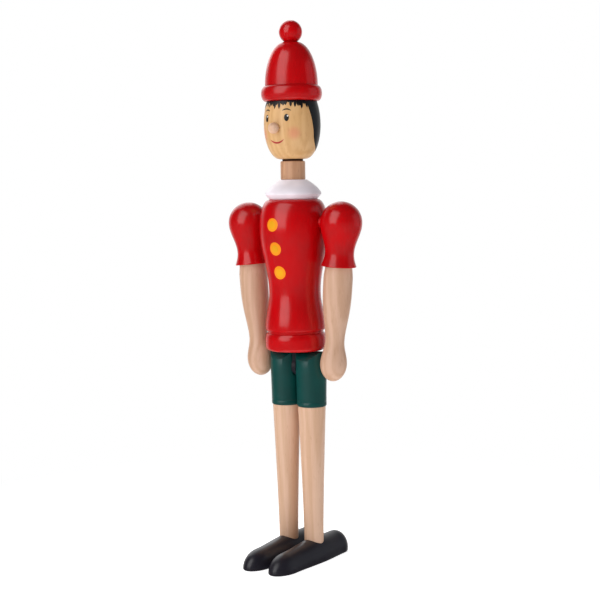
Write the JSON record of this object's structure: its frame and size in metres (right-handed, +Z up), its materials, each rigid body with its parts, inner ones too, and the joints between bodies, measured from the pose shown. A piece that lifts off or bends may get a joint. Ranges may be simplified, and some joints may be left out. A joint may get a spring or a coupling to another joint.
{
  "type": "jointed wooden doll",
  "caption": "Standing jointed doll of turned, painted wood with a bobble cap, puffed sleeves, shorts and shoes; the head turns, the arms and legs swing, and it stands on flat soles.",
  "frame": {"origin": "centre of the doll's box, at the level of the soles", "axes": "+Z up along the body, the doll faces -Y, +X is the doll's left side"},
  "size_m": [0.0864, 0.0656, 0.3003],
  "materials": {
    "red_enamel": "gloss red enamel on turned wood",
    "white_enamel": "gloss white enamel on turned wood",
    "green_enamel": "satin dark green enamel on turned wood",
    "black_enamel": "satin black enamel on turned wood",
    "beech": "clear satin varnish on pale beech",
    "golden_wood": "clear satin varnish on golden wood",
    "steel": "plain bright steel",
    "elastic": "woven elastic cord",
    "fibre": "dark pressed fibre"
  },
  "bodies": {
    "torso": {"torso": "red_enamel", "collar": "white_enamel", "neck_bead": "golden_wood", "neck_ring": "fibre", "neck_dowel": "beech", "neck_washer": "steel", "neck_screw": "steel", "arm_elastic": "elastic", "hip_block": "black_enamel", "hip_axle": "steel", "hip_axle_caps": "steel"},
    "head": {"head": "golden_wood", "nose": "beech", "cap": "red_enamel", "cap_peg": "beech", "cap_bobble": "red_enamel"},
    "left_arm": {"left_sleeve": "red_enamel", "left_forearm": "beech", "left_shoulder_peg": "beech", "left_shoulder_spacer": "red_enamel"},
    "right_arm": {"right_sleeve": "red_enamel", "right_forearm": "beech", "right_shoulder_peg": "beech", "right_shoulder_spacer": "red_enamel"},
    "left_leg": {"left_leg": "beech", "left_hip_plug": "green_enamel", "left_shoe": "black_enamel"},
    "right_leg": {"right_leg": "beech", "right_hip_plug": "green_enamel", "right_shoe": "black_enamel"}
  },
  "joints": [
    {"name": "head_turn", "type": "hinge", "parent": "torso", "child": "head", "pos_m": [0, 0.00472, 0.23], "axis": [0, 0, 1], "continuous": true},
    {"name": "left_shoulder", "type": "hinge", "parent": "torso", "child": "left_arm", "pos_m": [0.025, 0.00472, 0.1896], "axis": [-1, 0, 0], "continuous": true},
    {"name": "right_shoulder", "type": "hinge", "parent": "torso", "child": "right_arm", "pos_m": [-0.025, 0.00472, 0.1896], "axis": [-1, 0, 0], "continuous": true},
    {"name": "left_hip", "type": "hinge", "parent": "torso", "child": "left_leg", "pos_m": [0.00875, 0.00672, 0.1094], "axis": [-1, 0, 0], "range_deg": [-90, 90]},
    {"name": "right_hip", "type": "hinge", "parent": "torso", "child": "right_leg", "pos_m": [-0.00875, 0.00672, 0.1094], "axis": [-1, 0, 0], "range_deg": [-90, 90]}
  ]
}
